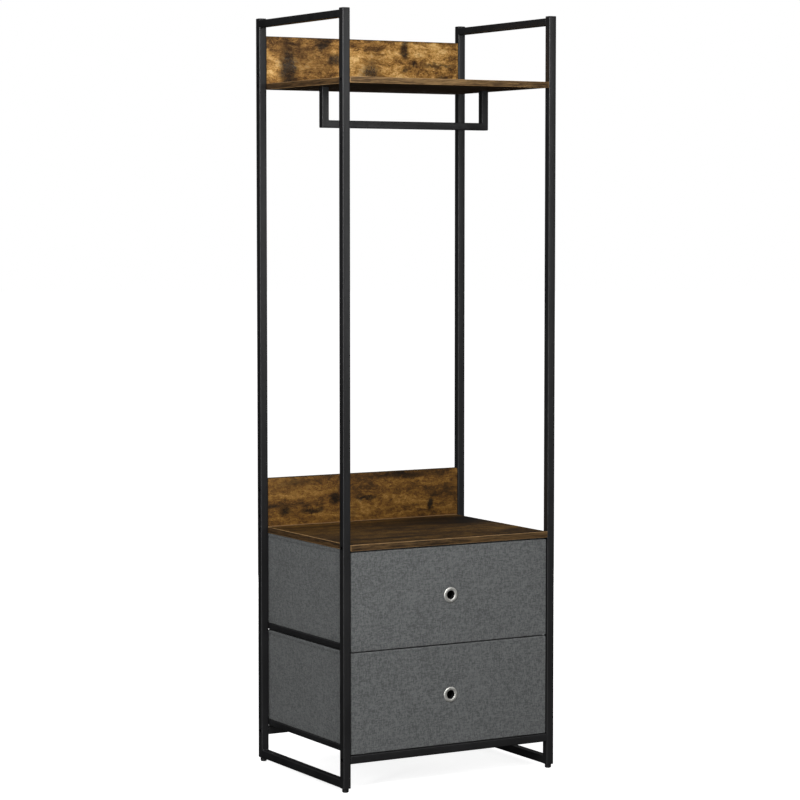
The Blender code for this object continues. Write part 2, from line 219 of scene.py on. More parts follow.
def rope(bm, path, radii, sides):
    """A round body along the path, with its own radius at each point."""
    rings = []
    for index, point in enumerate(path):
        ahead = path[min(index + 1, len(path) - 1)]
        behind = path[max(index - 1, 0)]
        direction = (ahead - behind).normalized()
        across = direction.cross(Vector((0.31, 0.17, 0.94))).normalized()
        other = direction.cross(across)
        flat = circle(radii[index], sides)
        rings.append([point + flat_point.x * across + flat_point.y * other for flat_point in flat])
    loft(bm, rings)


def finish_mesh(mesh, sharp_angle):
    """Shades the mesh smooth, except across edges sharper than this many degrees."""
    mesh.shade_smooth()
    mesh.set_sharp_from_angle(angle=math.radians(sharp_angle))


def piece(name, bm, materials, body, nodes=(), sharp_angle=40):
    """A finished piece that rides on the body and stands for the CAD nodes."""
    bmesh.ops.recalc_face_normals(bm, faces=bm.faces)
    mesh = bpy.data.meshes.new(name)
    bm.to_mesh(mesh)
    bm.free()
    for material in materials:
        mesh.materials.append(material)
    finish_mesh(mesh, sharp_angle)
    obj = bpy.data.objects.new(name, mesh)
    bpy.context.scene.collection.objects.link(obj)
    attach(obj, body)
    if nodes:
        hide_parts(*nodes)
    return obj


def cut(obj, tool_bm, sharp_angle=40):
    """Cuts the tool's shape out of the piece for good."""
    tool_mesh = bpy.data.meshes.new("tool")
    tool_bm.to_mesh(tool_mesh)
    tool_bm.free()
    tool = bpy.data.objects.new("tool", tool_mesh)
    bpy.context.scene.collection.objects.link(tool)
    modifier = obj.modifiers.new("Cut", "BOOLEAN")
    modifier.object = tool
    graph = bpy.context.evaluated_depsgraph_get()
    whole = obj.data
    obj.data = bpy.data.meshes.new_from_object(obj.evaluated_get(graph))
    obj.modifiers.clear()
    finish_mesh(obj.data, sharp_angle)
    bpy.data.objects.remove(tool)
    bpy.data.meshes.remove(tool_mesh)
    bpy.data.meshes.remove(whole)


def rod(radius, axis, centre, start, end, count=32):
    """A cylinder along the axis, as a cutting tool."""
    bm = lofted([lifted(circle(radius, count), axis, centre, height) for height in (start, end)])
    bmesh.ops.recalc_face_normals(bm, faces=bm.faces)
    return bm


def middle(node):
    """The centre of a CAD node's box."""
    low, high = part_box(node)
    return (low + high) / 2


# ---------------------------------------- material tools


def srgb(red, green, blue):
    """A linear colour with alpha from 0-255 sRGB values."""
    channels = [value / 255 for value in (red, green, blue)]
    return (*(c / 12.92 if c <= 0.04045 else ((c + 0.055) / 1.055) ** 2.4 for c in channels), 1.0)


class Graph:
    """A material's node tree with one Principled BSDF, and short calls for what feeds it."""

    def __init__(self, name, roughness=0.5, metallic=0.0):
        self.material = bpy.data.materials.new(name)
        self.material.use_nodes = True
        self.tree = self.material.node_tree
        self.shader = self.tree.nodes["Principled BSDF"]
        self.shader.inputs["Roughness"].default_value = roughness
        self.shader.inputs["Metallic"].default_value = metallic
        self.place = self.node("TexCoord").outputs["Object"]

    def node(self, kind, settings=None, inputs=None):
        made = self.tree.nodes.new("ShaderNode" + kind)
        for name, value in (settings or {}).items():
            setattr(made, name, value)
        for name, value in (inputs or {}).items():
            self.feed(made.inputs[name], value)
        return made

    def feed(self, socket, value):
        """Links an output to the socket, or sets a plain value on it."""
        if isinstance(value, bpy.types.NodeSocket):
            self.tree.links.new(value, socket)
        else:
            socket.default_value = value

    def math(self, operation, first, second=0.0):
        made = self.node("Math", {"operation": operation}, {0: first, 1: second})
        return made.outputs[0]

    def vector(self, operation, first, second):
        made = self.node("VectorMath", {"operation": operation}, {0: first, 1: second})
        return made.outputs["Value" if operation in ("LENGTH", "DOT_PRODUCT") else "Vector"]

    def noise(self, scale, detail, roughness=0.5, distortion=0.0, source=None):
        """Noise over the source or the object's own coordinates, at one scale or one per axis."""
        scales = scale if isinstance(scale, tuple) else (scale,) * 3
        stretched = self.vector("MULTIPLY", source or self.place, scales)
        inputs = {"Vector": stretched, "Scale": 1.0, "Detail": detail}
        inputs.update({"Roughness": roughness, "Distortion": distortion})
        return self.node("TexNoise", None, inputs).outputs["Fac"]

    def ranged(self, value, low, high, to_low=0.0, to_high=1.0):
        """A smooth step from one range of values to another, held at both ends."""
        inputs = {"Value": value, "From Min": low, "From Max": high}
        inputs.update({"To Min": to_low, "To Max": to_high})
        return self.node("MapRange", {"interpolation_type": "SMOOTHSTEP"}, inputs).outputs[0]

    def ramp(self, value, stops):
        made = self.node("ValToRGB", None, {"Fac": value})
        elements = made.color_ramp.elements
        while len(elements) < len(stops):
            elements.new(1.0)
        for element, (position, colour) in zip(elements, stops):
            element.position = position
            element.color = colour
        return made.outputs["Color"]

    def mix(self, factor, first, second, blend="MIX"):
        made = self.node("Mix", {"data_type": "RGBA", "blend_type": blend})
        self.feed(made.inputs[0], factor)
        self.feed(made.inputs[MIX_FIRST], first)
        self.feed(made.inputs[MIX_SECOND], second)
        return made.outputs[MIX_RESULT]

    def bump(self, height, distance, strength):
        inputs = {"Height": height, "Distance": distance, "Strength": strength}
        self.feed(self.shader.inputs["Normal"], self.node("Bump", None, inputs).outputs[0])

    def colour(self, value):
        self.feed(self.shader.inputs["Base Color"], value)

    def shades(self, value, dark, light, low=NOISE_LOW, high=NOISE_HIGH):
        """Colours the surface from dark to light as the value rises from low to high."""
        self.colour(self.ramp(value, [(low, dark), (high, light)]))

    def roughness(self, value, at_low, at_high, low=NOISE_LOW, high=NOISE_HIGH):
        """Takes the roughness from at_low to at_high as the value rises from low to high."""
        self.feed(self.shader.inputs["Roughness"], self.ranged(value, low, high, at_low, at_high))


def wobble(g, place, scale, detail, amount):
    """Noise as a direction, about zero, for swirls and ragged edges."""
    stretched = g.vector("MULTIPLY", place, scale)
    inputs = {"Vector": stretched, "Scale": 1.0, "Detail": detail, "Roughness": 0.65}
    cloud = g.node("TexNoise", None, inputs).outputs["Color"]
    centred = g.vector("SUBTRACT", cloud, (0.5, 0.5, 0.5))
    return g.vector("MULTIPLY", centred, (amount, amount, amount))


def weighted(g, parts):
    """The sum of values, each with its share."""
    total = 0.0
    for value, share in parts:
        total = g.node("Math", {"operation": "MULTIPLY_ADD"}, {0: value, 1: share, 2: total})
        total = total.outputs[0]
    return total


# ---------------------------------------- materials


def powder_coat():
    """Satin black powder coat with a fine orange-peel surface."""
    g = Graph("powder_coat")
    g.shades(g.noise((9, 9, 3), 3), srgb(22, 22, 23), srgb(31, 31, 32))
    g.roughness(g.noise((40, 40, 12), 4), 0.33, 0.43)
    g.bump(g.noise(900, 2), 0.00006, 0.6)
    return g.material


def moulded_plastic():
    """Black plastic with a fine spark-eroded grain."""
    g = Graph("moulded_plastic")
    g.shades(g.noise(60, 2), srgb(20, 20, 21), srgb(28, 28, 29))
    g.roughness(g.noise(300, 2), 0.45, 0.6)
    g.bump(g.noise(2600, 2), 0.00004, 0.6)
    return g.material


def black_zinc():
    """Black zinc plate with faint turning marks."""
    g = Graph("black_zinc", metallic=0.8)
    g.shades(g.noise(500, 3), srgb(34, 34, 36), srgb(52, 52, 54))
    g.roughness(g.noise(1500, 2), 0.3, 0.5)
    return g.material


def bright_nickel():
    """Polished plate with faint haze and hairline scratches."""
    g = Graph("bright_nickel", metallic=1.0)
    haze = g.noise(120, 4)
    g.shades(haze, srgb(236, 235, 228), srgb(250, 249, 244))
    g.roughness(haze, 0.42, 0.54)
    g.bump(g.noise((4000, 300, 1500), 2), 0.00002, 0.5)
    return g.material


def woven_fabric(name, dark, light, pitch=0.0011):
    """Linen-look polyester: a plain weave of uneven threads, heathered along both directions."""
    g = Graph(name, roughness=0.95)
    g.shader.inputs["Specular IOR Level"].default_value = 0.2
    g.shader.inputs["Sheen Weight"].default_value = 0.08
    g.shader.inputs["Sheen Roughness"].default_value = 0.6
    split = g.node("SeparateXYZ", None, {"Vector": g.place})
    round_the_box = g.math("ADD", split.outputs["X"], split.outputs["Y"])
    turns = 2 * math.pi / pitch
    warp = g.math("SINE", g.math("MULTIPLY", round_the_box, turns))
    weft = g.math("SINE", g.math("MULTIPLY", split.outputs["Z"], turns))
    weave = g.ranged(g.math("MULTIPLY", warp, weft), -1, 1)
    upright = g.noise((340, 340, 110), 2)
    level = g.noise((110, 110, 340), 2)
    heather = g.noise(310, 2)
    cloudy = g.noise((11, 11, 8), 4, 0.6)
    tone = weighted(g, [(upright, 0.32), (level, 0.34), (heather, 0.28), (cloudy, 0.06)])
    threads = g.math("ADD", tone, g.math("MULTIPLY", g.math("SUBTRACT", weave, 0.5), 0.05))
    g.shades(threads, dark, light, 0.42, 0.58)
    g.bump(weighted(g, [(weave, 0.6), (upright, 0.5), (level, 0.5)]), 0.0002, 0.7)
    return g.material


def felted_lining():
    """Grey non-woven lining, pressed with a pattern of small dimples."""
    g = Graph("felted_lining", roughness=0.95)
    fibres = g.noise(700, 4, 0.7)
    inputs = {"Vector": g.place, "Scale": 520.0}
    dimples = g.node("TexVoronoi", None, inputs).outputs["Distance"]
    pressed = g.ranged(dimples, 0.1, 0.45)
    tone = g.math("ADD", g.math("MULTIPLY", fibres, 0.7), g.math("MULTIPLY", pressed, 0.3))
    g.shades(tone, srgb(66, 67, 68), srgb(98, 99, 100), 0.35, 0.75)
    g.bump(g.math("ADD", pressed, fibres), 0.0003, 0.6)
    return g.material


def sewing_thread():
    """Grey thread with the twist of its plies."""
    g = Graph("sewing_thread", roughness=0.75)
    ply = g.noise(2500, 2)
    g.shades(ply, srgb(62, 63, 64), srgb(92, 93, 94), 0.35, 0.65)
    g.bump(ply, 0.0001, 0.6)
    return g.material


def laminate(name, tones, stains, seed, figure=(8, 17, 17), pale_lines=()):
    """Rustic wood print with grain along X: clouds, dark stains and knots, saw marks and pores.

    tones are five colours from dark to light, and figure is how fine the clouds are in each
    direction. A stain is a centre, a half size and a depth. A pale line is a normal and the
    distance along it at which the print is worn.
    """
    g = Graph(name)
    g.shader.inputs["Specular IOR Level"].default_value = 0.18
    place = g.vector("ADD", g.place, seed)
    swirled = g.vector("ADD", place, wobble(g, place, (9, 16, 16), 4, 0.05))
    clouds = g.noise(figure, 6, 0.62, 0.4, swirled)
    mottling = g.noise((48, 75, 75), 5, 0.7, 0.8, swirled)
    streaks = g.noise((13, 200, 200), 4, 0.62, 0.2, swirled)
    flakes = g.noise((190, 260, 260), 4, 0.75, 1.2, place)
    grain = g.noise((90, 1500, 1500), 3, 0.6, 0.0, place)
    parts = [(clouds, 0.34), (mottling, 0.24), (streaks, 0.14), (flakes, 0.2), (grain, 0.08)]
    tone = weighted(g, parts)
    colour = g.ramp(tone, [(stop, srgb(*shade)) for stop, shade in zip(WOOD_STOPS, tones)])

    source = g.vector("ADD", g.place, wobble(g, place, (36, 50, 50), 8, 0.045))
    spread = g.noise((10, 15, 15), 4, 0.6, 1.0, place)
    stain = g.ranged(spread, 0.5, 0.72, 0.0, 0.5)
    for centre, half_size, depth in stains:
        reach = g.vector("DIVIDE", g.vector("SUBTRACT", source, centre), half_size)
        spot = g.ranged(g.vector("LENGTH", reach, (0, 0, 0)), 2.1, 0.2, 0.0, depth)
        stain = g.math("MAXIMUM", stain, spot)
    broken = weighted(g, [(mottling, 1.4), (flakes, 3.0), (-2.2, 1.0)])
    stain = g.ranged(g.math("ADD", stain, g.math("MULTIPLY", broken, stain)), 0.08, 1.05)
    darkened = g.mix(1.0, colour, STAIN_TINT, "MULTIPLY")
    colour = g.mix(stain, colour, darkened)

    pores = g.ranged(g.noise((330, 1300, 1300), 2, 0.5, 0.0, place), 0.6, 0.72)
    patches = g.ranged(g.noise((18, 26, 26), 3, 0.5, 0.0, place), 0.46, 0.6)
    saw_marks = g.ranged(g.noise((520, 60, 60), 3, 0.6, 0.6, swirled), 0.55, 0.7)
    flecks = g.math("MAXIMUM", pores, g.math("MULTIPLY", saw_marks, patches))
    colour = g.mix(g.math("MULTIPLY", flecks, 0.55), colour, srgb(44, 31, 18))
    full, fading, gone = 0.0006, 0.0028, 0.0034
    for normal, distance in pale_lines:
        height = g.vector("DOT_PRODUCT", g.place, normal)
        frayed = g.math("ADD", height, g.math("MULTIPLY", flakes, 0.001))
        worn = g.ranged(frayed, distance, distance + full)
        worn = g.math("SUBTRACT", worn, g.ranged(frayed, distance + fading, distance + gone))
        colour = g.mix(g.math("MULTIPLY", worn, 0.85), colour, srgb(146, 114, 78))
    g.colour(colour)
    g.roughness(tone, 0.62, 0.52, 0.4, 0.6)
    relief = g.math("SUBTRACT", g.math("ADD", grain, flakes), flecks)
    g.bump(relief, 0.00012, 0.5)
    return g.material


def streaked(name, dark, light, stretch):
    """Streaks from dark to light, longest where stretch is smallest.

    It makes the boards' edge bands (the top shelf's painted lighter, as painted light), lips
    (partly a painted highlight) and backing (partly painted shade), and the painted shade in the
    grommets' bores.
    """
    g = Graph(name)
    g.shader.inputs["Specular IOR Level"].default_value = 0.2
    streaks = g.noise(stretch, 5, 0.7, 0.4)
    patches = g.noise(tuple(value / 7 for value in stretch), 4, 0.6)
    tone = g.math("ADD", g.math("MULTIPLY", streaks, 0.6), g.math("MULTIPLY", patches, 0.4))
    g.shades(tone, dark, light, 0.4, 0.6)
    g.roughness(streaks, 0.6, 0.5)
    g.bump(streaks, 0.00008, 0.5)
    return g.material


# ---------------------------------------- frame


def square_tube(name, node, axis, reach=0.0):
    """An open square tube in the CAD node's place, with its ends moved out by the reach."""
    low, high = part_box(node)
    index = "xyz".index(axis)
    start, end = low[index] - reach, high[index] + reach
    half_u, half_v = [(high[i] - low[i]) / 2 for i in range(3) if i != index]
    stations = [
        (TUBE_EDGE, start),
        (0.0, start + TUBE_EDGE),
        (0.0, end - TUBE_EDGE),
        (TUBE_EDGE, end),
        (TUBE_WALL, end),
        (TUBE_WALL, start),
    ]
    rings = []
    for inset, height in stations:
        flat = outline(half_u - inset, half_v - inset, TUBE_RADIUS - inset)
        rings.append(lifted([point for point, _ in flat], axis, middle(node), height))
    bm = lofted(rings, wrap=True)
    return piece(name, bm, [POWDER_COAT], "frame", [node])


def posts():
    """Posts with the access holes through which their bolts are reached."""
    bolts = [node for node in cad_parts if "_bolt_" in node and "rail_bolt" not in node]
    for end, side in CORNERS:
        sign, depth_sign = SIDES[side], ENDS[end]
        node = f"post_{end}_{side}"
        post = square_tube(f"{node}_tube", node, "z")
        centre = middle(node)
        for bolt in bolts:
            head = middle(bolt)
            if head.x * sign < 0 or head.y * depth_sign < 0:
                continue
            outer = centre.x + sign * 2 * TOOL_CLEAR
            cut(post, rod(ACCESS_HOLE, "x", (0, head.y, head.z), centre.x, outer))


def side_frames():
    """Side bars at the top and the floor, and the drawers' runners."""
    for side in SIDES:
        for node in (f"side_bar_top_{side}", f"side_bar_bottom_{side}"):
            square_tube(f"{node}_tube", node, "y", WELD_REACH)
        for level in LEVELS:
            node = f"runner_{level}_{side}"
            square_tube(f"{node}_tube", node, "y")


def bottom_rails():
    """Bottom rails, their ends close against the posts."""
    for end in ENDS:
        square_tube(f"bottom_rail_{end}_tube", f"bottom_rail_{end}", "x", BORE_MARGIN)


def weld_fillets():
    """A rippled bead in each inner corner between a side bar and a post."""
    for side in SIDES:
        for level, at_top in (("top", False), ("bottom", True)):
            low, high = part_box(f"side_bar_{level}_{side}")
            height = high.z if at_top else low.z
            start, span = low.x + TUBE_RADIUS, high.x - low.x - 2 * TUBE_RADIUS
            for end, y in (("front", low.y), ("rear", high.y)):
                path, radii = [], []
                for index in range(WELD_POINTS):
                    share = index / (WELD_POINTS - 1)
                    path.append(Vector((start + span * share, y, height)))
                    ripple = 1 + WELD_RIPPLE * math.cos(index * math.pi / 2)
                    taper = min(1.0, WELD_TIP + WELD_TAPER * min(share, 1 - share))
                    radii.append(WELD_RADIUS * ripple * taper)
                bm = bmesh.new()
                rope(bm, path, radii, sides=12)
                piece(f"weld_{level}_{end}_{side}", bm, [POWDER_COAT], "frame")


def hanging_rail():
    """Two drops and a bar, mitred and welded into one U of square tube."""
    left_low, left_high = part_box("rail_drop_left")
    right_low, right_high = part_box("rail_drop_right")
    top, foot, inner = left_high.z, left_low.z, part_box("rail_bar")[1].z
    shape = [
        (left_low.x, top),
        (left_low.x, foot),
        (right_high.x, foot),
        (right_high.x, top),
        (right_low.x, top),
        (right_low.x, inner),
        (left_high.x, inner),
        (left_high.x, top),
    ]
    bm = bmesh.new()
    face = bm.faces.new([bm.verts.new((x, left_low.y, z)) for x, z in shape])
    grown = bmesh.ops.extrude_face_region(bm, geom=[face])
    moved = [item for item in grown["geom"] if isinstance(item, bmesh.types.BMVert)]
    bmesh.ops.translate(bm, vec=(0, left_high.y - left_low.y, 0), verts=moved)
    near = top - 1e-6  # the ends against the shelf stay sharp
    edges = [edge for edge in bm.edges if not all(vert.co.z > near for vert in edge.verts)]
    bmesh.ops.bevel(
        bm, geom=edges, offset=TUBE_RADIUS, segments=CORNER_STEPS, profile=0.5, affect="EDGES"
    )
    nodes = ["rail_drop_left", "rail_drop_right", "rail_bar"]
    piece("hanging_rail", bm, [POWDER_COAT], "frame", nodes)


def post_caps():
    """A slightly crowned cap with a square plug in the post."""
    edge, crown, lead, seam = 0.0014, 0.0004, 0.0006, 0.0003
    for end, side in CORNERS:
        node = f"post_cap_{end}_{side}"
        low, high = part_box(node)
        half = (high.x - low.x) / 2
        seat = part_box(f"post_{end}_{side}")[1].z
        plug = TUBE_WALL + BORE_MARGIN
        stations = [(plug + lead, low.z), (plug, low.z + lead), (plug, seat)]
        stations += [(seam, seat), (0.0, seat + seam)]
        for step in range(CORNER_STEPS + 1):
            angle = math.radians(90 * step / CORNER_STEPS)
            inset = edge * (1 - math.cos(angle))
            stations.append((inset, high.z - crown - edge * (1 - math.sin(angle))))
        for share in (0.35, 0.65, 0.9):
            rise = crown * (1 - (1 - share) ** 2)
            stations.append((edge + share * (half - edge), high.z - crown + rise))
        rings = []
        for inset, height in stations:
            side_half = half - inset
            flat = outline(side_half, side_half, min(TUBE_RADIUS, 0.6 * side_half))
            rings.append(lifted([point for point, _ in flat], "z", middle(node), height))
        piece(f"{node}_moulding", lofted(rings), [PLASTIC], "frame", [node])


def feet():
    """Round glides with a domed sole and a chamfered plug."""
    plug, rim, sole, dome = 0.0084, 0.008, 0.0055, 0.0035
    lip, lead = 0.0003, 0.001
    sides, steps = 48, 8
    for end, side in CORNERS:
        node = f"foot_{end}_{side}"
        low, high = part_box(node)
        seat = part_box(f"post_{end}_{side}")[0].z
        stations = [(sole, low.z)]
        for step in range(1, steps + 1):
            angle = math.radians(90 * step / steps)
            radius = sole + (rim - sole) * math.sin(angle)
            stations.append((radius, low.z + dome * (1 - math.cos(angle))))
        stations += [(rim, seat - 4 * lip), (rim + lip, seat - 2 * lip), (plug, seat - lip)]
        stations += [(plug, high.z - lead), (plug - lead, high.z)]
        rings = [lifted(circle(r, sides), "z", middle(node), z) for r, z in stations]
        piece(f"{node}_glide", lofted(rings), [PLASTIC], "frame", [node])


def fastener(node, axis, direction, sunk):
    """A bolt in its CAD node's place, with a hexagon socket in its head.

    Its head points in the direction along the axis, and is a cone where it is sunk.
    """
    count = 24
    shank, edge, head_height, socket_depth = 0.003, 0.0003, 0.003, 0.0018
    low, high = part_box(node)
    index = "xyz".index(axis)
    head_end = high[index] if direction > 0 else low[index]
    tip = low[index] if direction > 0 else high[index]
    head = (high[(index + 1) % 3] - low[(index + 1) % 3]) / 2
    socket = 0.52 * head
    under = head - shank if sunk else head_height
    seat, inset = (2 * edge, 2 * edge) if sunk else (under, edge)
    shapes = [
        (circle(shank - edge, count), tip),
        (circle(shank, count), tip + direction * edge),
        (circle(shank, count), head_end - direction * under),
        (circle(head - inset, count), head_end - direction * seat),
        (circle(head, count), head_end - direction * edge),
        (circle(head - edge, count), head_end),
        (hexagon(socket + edge, count), head_end),
        (hexagon(socket, count), head_end - direction * edge),
        (hexagon(socket, count), head_end - direction * socket_depth),
    ]
    bm = lofted([lifted(flat, axis, middle(node), height) for flat, height in shapes])
    piece(f"{node}_steel", bm, [ZINC], "frame", [node], sharp_angle=30)


def fasteners():
    """The rail's bolts, sunk in the top shelf, and the others, with heads inside the posts."""
    for node in [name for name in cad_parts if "_bolt_" in name]:
        if node.startswith("rail_bolt"):
            fastener(node, "z", 1, sunk=True)
        else:
            fastener(node, "x", SIDES[node.rsplit("_", 1)[1]], sunk=False)


# ---------------------------------------- boards


def board(node, materials, normal_axis):
    """A laminated board: printed faces, banded edges, and a rounded lip where the two meet.

    materials are for the front or top, the face opposite, the long edges, the ends and the lip.
    """
    front, back, long_edge, end, lip = range(5)
    low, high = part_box(node)
    bm = bmesh.new()
    bmesh.ops.create_cube(bm, size=1.0)
    bmesh.ops.scale(bm, vec=high - low, verts=bm.verts)
    bmesh.ops.translate(bm, vec=(high + low) / 2, verts=bm.verts)
    bmesh.ops.bevel(
        bm, geom=bm.edges[:], offset=BOARD_EDGE, segments=3, profile=0.5, affect="EDGES"
    )
    bm.normal_update()
    index = "xyz".index(normal_axis)
    seen = 1 if normal_axis == "z" else -1
    for face in bm.faces:
        along = face.normal[index] * seen
        if max(abs(part) for part in face.normal) < 0.999:
            # The rounded lip takes a pale material, partly a painted highlight along the edge.
            face.material_index = lip
        elif abs(along) > 0.9:
            face.material_index = front if along > 0 else back
        else:
            face.material_index = end if abs(face.normal.x) > 0.9 else long_edge
    return piece(f"{node}_board", bm, materials, "frame", [node], sharp_angle=25)


def boards():
    """Shelves and backboards, and the two bores in the top shelf for the rail's bolts."""
    # The top shelf's edge band is painted lighter than the same band below: painted light.
    materials = [SHELF_TOP, BACKING_AND_SHADE, BAND_TOP_LIT, BAND_END, LIP_AND_HIGHLIGHT]
    top_shelf = board("top_shelf", materials, "z")
    board("lower_shelf", [SHELF_LOWER, BACKING_AND_SHADE, BAND, BAND_END, LIP_AND_HIGHLIGHT], "z")
    for side in SIDES:
        bolt_low, bolt_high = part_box(f"rail_bolt_{side}")
        radius = (bolt_high.x - bolt_low.x) / 2 + BORE_MARGIN
        start, end = bolt_high.z - BOLT_CLEAR, bolt_high.z + BOLT_CLEAR
        tool = rod(radius, "z", middle(f"rail_bolt_{side}"), start, end)
        cut(top_shelf, tool, sharp_angle=25)
    board("top_backboard", [BOARD_TOP, BOARD_TOP, BAND, LIP_AND_HIGHLIGHT, LIP_DARK], "y")
    board("lower_backboard", [BOARD_LOWER, BOARD_LOWER, BAND, LIP_AND_HIGHLIGHT, LIP_DARK], "y")


# ---------------------------------------- drawers


def graded(half, margin, fine, step):
    """Grid lines from -half to half: close together within the margins, a step apart between."""
    inner = half - margin
    count = max(1, round(2 * inner / step))
    edge = [margin * index / fine for index in range(fine)]
    lines = [-half + value for value in edge]
    lines += [-inner + 2 * inner * index / count for index in range(count + 1)]
    return lines + [half - value for value in reversed(edge)]


def cloth_piece(name, bm, material, level, nodes=(), sharp_angle=60):
    """A finished piece of a drawer's sewn cover."""
    body = f"drawer_{level}"
    return piece(name, bm, [material], body, nodes, sharp_angle)


def box_skin(bm, xs, ys, zs, shape):
    """The grid surface of a box, with each point moved to where shape puts it."""
    verts = {}
    last = (len(xs) - 1, len(ys) - 1, len(zs) - 1)

    def vert(i, j, k):
        if (i, j, k) not in verts:
            verts[i, j, k] = bm.verts.new(shape(Vector((xs[i], ys[j], zs[k]))))
        return verts[i, j, k]

    for axis in range(3):
        first, second = [other for other in range(3) if other != axis]
        for end in (0, last[axis]):
            for a in range(last[first]):
                for b in range(last[second]):
                    corners = []
                    for step_a, step_b in ((0, 0), (1, 0), (1, 1), (0, 1)):
                        key = [0, 0, 0]
                        key[axis], key[first], key[second] = end, a + step_a, b + step_b
                        corners.append(vert(*key))
                    bm.faces.new(corners)


def soften(point, half, corner, edge):
    """Moves a point of a box's skin onto a slab with round corners in XZ and round edges in Y."""
    core = Vector((
        max(corner - half.x, min(half.x - corner, point.x)),
        max(corner - half.z, min(half.z - corner, point.z)),
    ))
    out = Vector((point.x, point.z)) - core
    inset = corner - max(abs(out.x), abs(out.y))
    depth = half.y - abs(point.y)
    bend = Vector((edge - inset, edge - depth))
    if bend.x > 0 and bend.y > 0:
        bend *= max(bend) / bend.length
        inset, depth = edge - bend.x, edge - bend.y
    if out.length > 0:
        core += out.normalized() * (corner - inset)
    return Vector((core.x, math.copysign(half.y - depth, point.y), core.y))


def front_relief(place, half, seed):
    """How far the front's fabric stands out at a point: slack, less the dip round the grommet."""
    inset = min(half.x - abs(place.x), half.z - abs(place.z))
    fade = min(1.0, inset / TAUT_BORDER)
    slack = FRONT_SLACK * noise.noise(Vector((place.x * 7, seed, place.z * 9)))
    ripple = FRONT_RIPPLE * noise.noise(Vector((place.x * 34, seed + 5, place.z * 26)))
    reach = math.hypot(place.x, place.z)
    pull = PULL_DEPTH * math.exp(-(((reach - PULL_RADIUS) / PULL_WIDTH) ** 2))
    return (slack + ripple) * fade - pull


def finger_hole(cover, level, start, end):
    """Cuts the hole for the grommet's barrel through a piece of the drawer."""
    radius = GROMMET_BARREL + BORE_MARGIN
    centre = middle(f"drawer_{level}_grommet")
    cut(cover, rod(radius, "y", centre, start, end, HOLE_SIDES), sharp_angle=60)


def drawer_front(level, seed):
    """The front: fabric over board, its face a little slack."""
    node = f"drawer_{level}_front"
    low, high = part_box(node)
    half = (high - low) / 2
    centre = middle(node)

    def shape(point):
        soft = soften(point, half, DRAWER_CORNER, FRONT_EDGE)
        if soft.y < 0:
            soft.y -= front_relief(soft, half, seed)
        return soft + centre

    xs = graded(half.x, DRAWER_CORNER, fine=6, step=0.006)
    zs = graded(half.z, DRAWER_CORNER, fine=6, step=0.006)
    ys = graded(half.y, FRONT_EDGE, fine=5, step=0.003)
    bm = bmesh.new()
    box_skin(bm, xs, ys, zs, shape)
    cover = cloth_piece(f"{node}_cover", bm, FABRIC_FRONT, level, [node])
    finger_hole(cover, level, low.y - TOOL_CLEAR, high.y + TOOL_CLEAR)


def wall_relief(place, low, high, seed):
    """How far a fabric wall bows out at a point of its height and its length."""
    rise = math.sin(math.pi * (place.z - low.z) / (high.z - low.z))
    slack = noise.noise(Vector((place.x * 6, place.y * 6, place.z * 7 + seed)))
    ripple = noise.noise(Vector((place.x * 25, place.y * 25, place.z * 9 + seed)))
    return max(0.0, rise) * (WALL_SLACK * slack + WALL_RIPPLE * ripple)


def box_rings(level, stations, seed):
    """Rounded rings of the drawer box, one for each (inset, height) of its section."""
    low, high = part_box(f"drawer_{level}_box")
    half = (high - low) / 2
    centre = middle(f"drawer_{level}_box")
    rings = []
    for inset, height in stations:
        radius = max(DRAWER_CORNER - inset, SMALLEST_CORNER)
        ring = []
        for point, normal in outline(half.x - inset, half.y - inset, radius, *WALL_SPLITS):
            place = Vector((centre.x + point.x, centre.y + point.y, height))
            ring.append(place + normal.to_3d() * wall_relief(place, low, high, seed))
        rings.append(ring)
    return rings


def rim_arc(radius, inset, height, steps, start=0, end=180):
    """The (inset, height) points of a section's round top edge, from outside to inside."""
    arc = []
    for step in range(steps + 1):
        angle = math.radians(start + (end - start) * step / steps)
        arc.append((inset - radius * math.cos(angle), height + radius * math.sin(angle)))
    return arc


def drawer_box(level, seed):
    """The fabric box: outer walls, rolled rim and inner walls, open at the top."""
    node = f"drawer_{level}_box"
    low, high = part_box(node)
    stations = []
    edge_steps, wall_steps, rim_steps = 4, 14, 6
    for step in range(edge_steps + 1):
        angle = math.radians(90 * step / edge_steps)
        inset = BOX_EDGE * (1 - math.sin(angle))
        stations.append((inset, low.z + BOX_EDGE * (1 - math.cos(angle))))
    foot = stations[-1][1]
    rim = high.z + RIM_RISE - FABRIC / 2
    for step in range(1, wall_steps):
        stations.append((0.0, foot + (rim - foot) * step / wall_steps))
    stations += rim_arc(FABRIC / 2, FABRIC / 2, rim, rim_steps)
    floor = low.z + FABRIC
    for step in range(1, wall_steps + 1):
        stations.append((FABRIC, rim + (floor - rim) * step / wall_steps))
    bm = lofted(box_rings(level, stations, seed))
    # The box's cloth is painted darker than the front: painted shade.
    cloth = cloth_piece(f"{node}_cloth", bm, FABRIC_SIDE_SHADED, level, [node])
    finger_hole(cloth, level, low.y - TOOL_CLEAR, low.y + 2 * TOOL_CLEAR)


